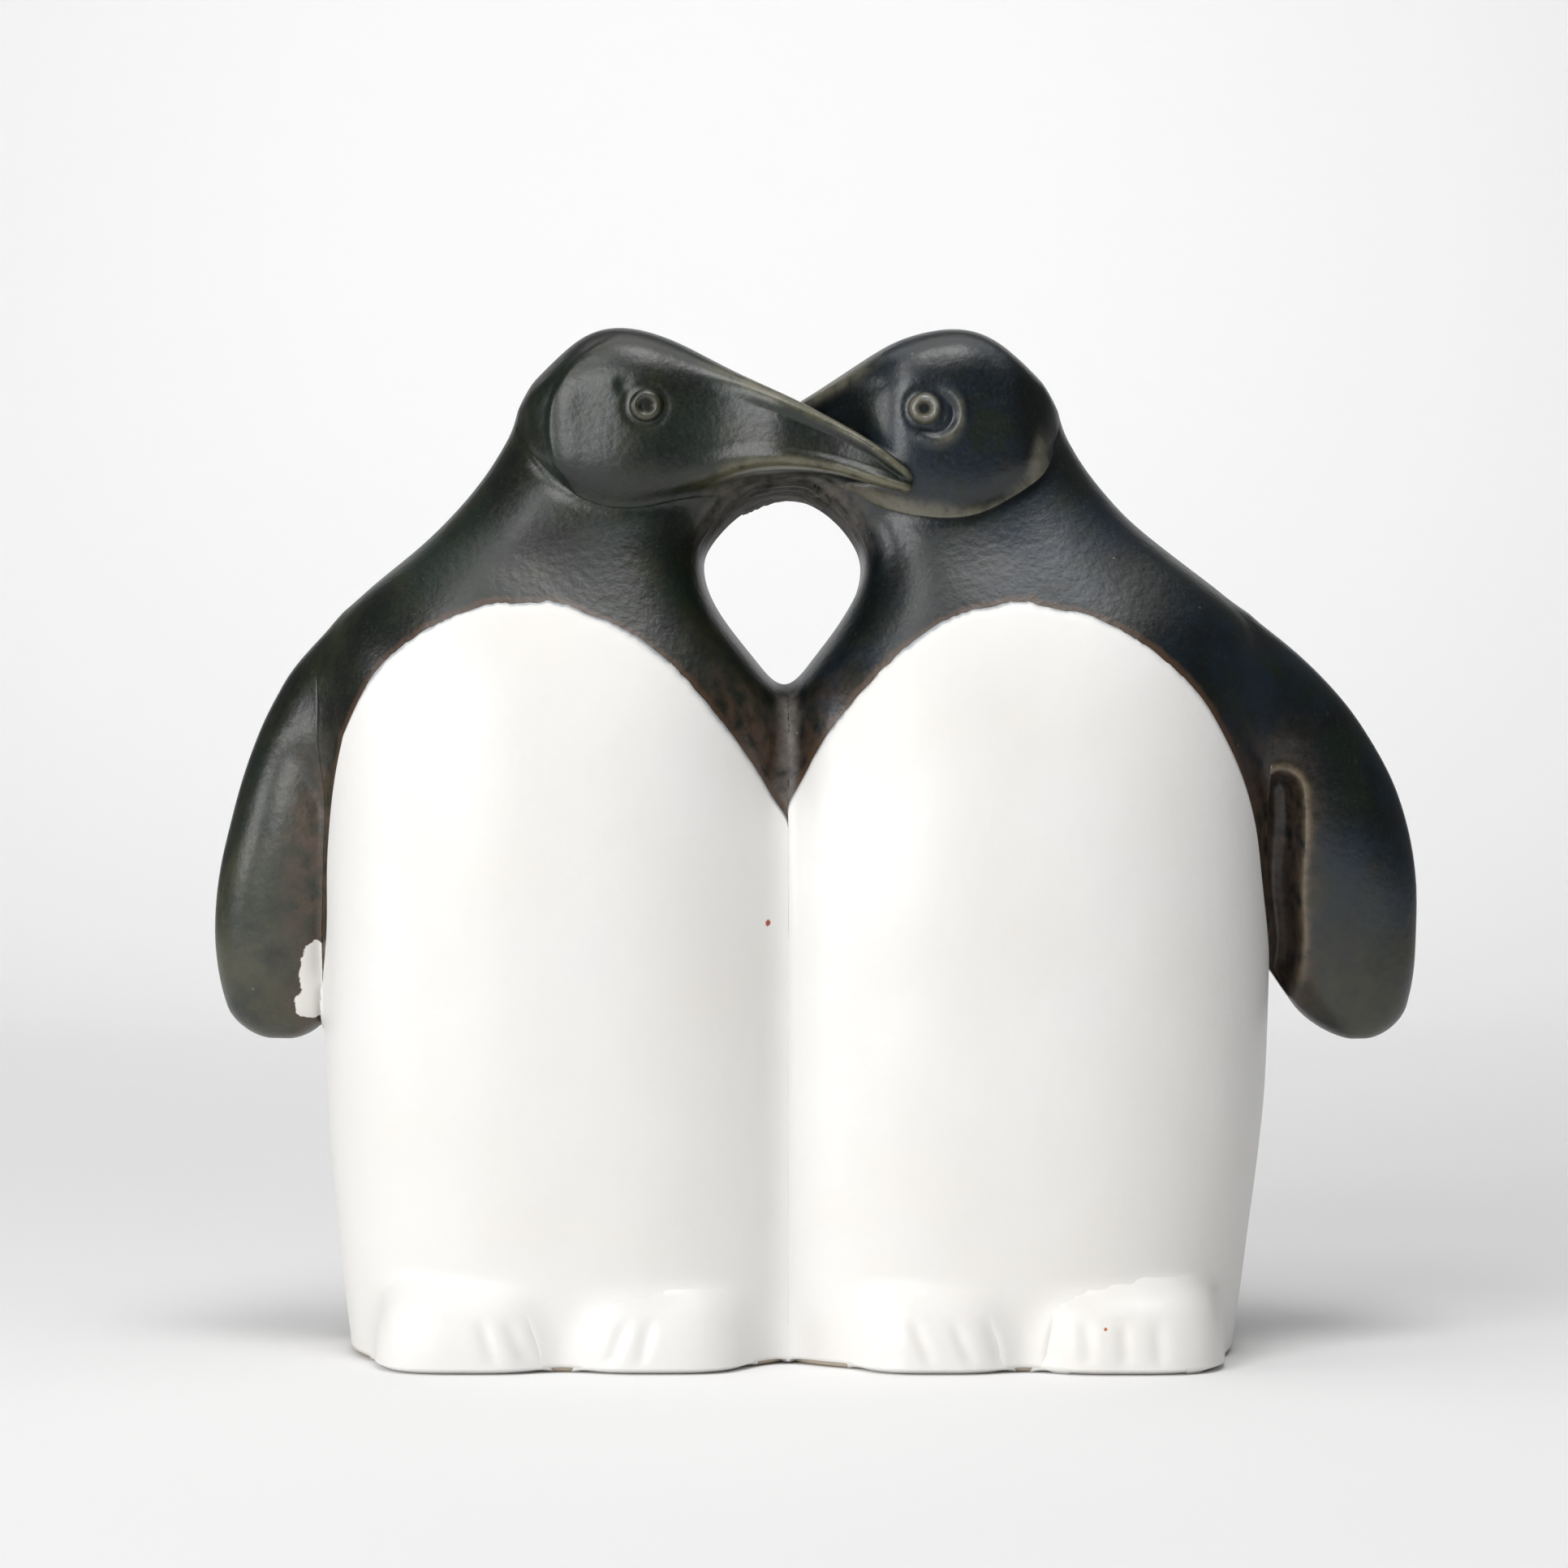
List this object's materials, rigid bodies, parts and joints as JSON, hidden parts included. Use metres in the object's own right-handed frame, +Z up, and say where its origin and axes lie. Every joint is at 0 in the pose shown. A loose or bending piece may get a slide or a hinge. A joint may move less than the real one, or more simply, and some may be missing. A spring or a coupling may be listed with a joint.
{
  "type": "penguin figurine",
  "caption": "Glazed stoneware ornament of penguins standing side by side, joined at the bellies, heads turned to each other with crossed beaks and an open gap between the necks.",
  "frame": {"origin": "centre of the pair's bounding box, on the floor that it stands on", "axes": "+Z up, +X to the right as seen from the front, +Y to the back, so the bellies face -Y"},
  "size_m": [0.1666, 0.0638, 0.14],
  "materials": {
    "dark_glaze": "satin green-black stoneware glaze, olive brown where it breaks over edges",
    "white_glaze": "glossy milky white stoneware glaze with fine specks"
  },
  "bodies": {
    "root": {"left_body": "dark_glaze", "right_body": "dark_glaze", "left_head": "dark_glaze", "right_head": "dark_glaze", "left_flipper": "dark_glaze", "right_flipper": "dark_glaze", "left_front_eye": "dark_glaze", "left_back_eye": "dark_glaze", "right_front_eye": "dark_glaze", "right_back_eye": "dark_glaze", "left_belly_glaze": "white_glaze", "right_belly_glaze": "white_glaze", "left_outer_foot": "white_glaze", "left_inner_foot": "white_glaze", "right_inner_foot": "white_glaze", "right_outer_foot": "white_glaze"}
  },
  "joints": []
}
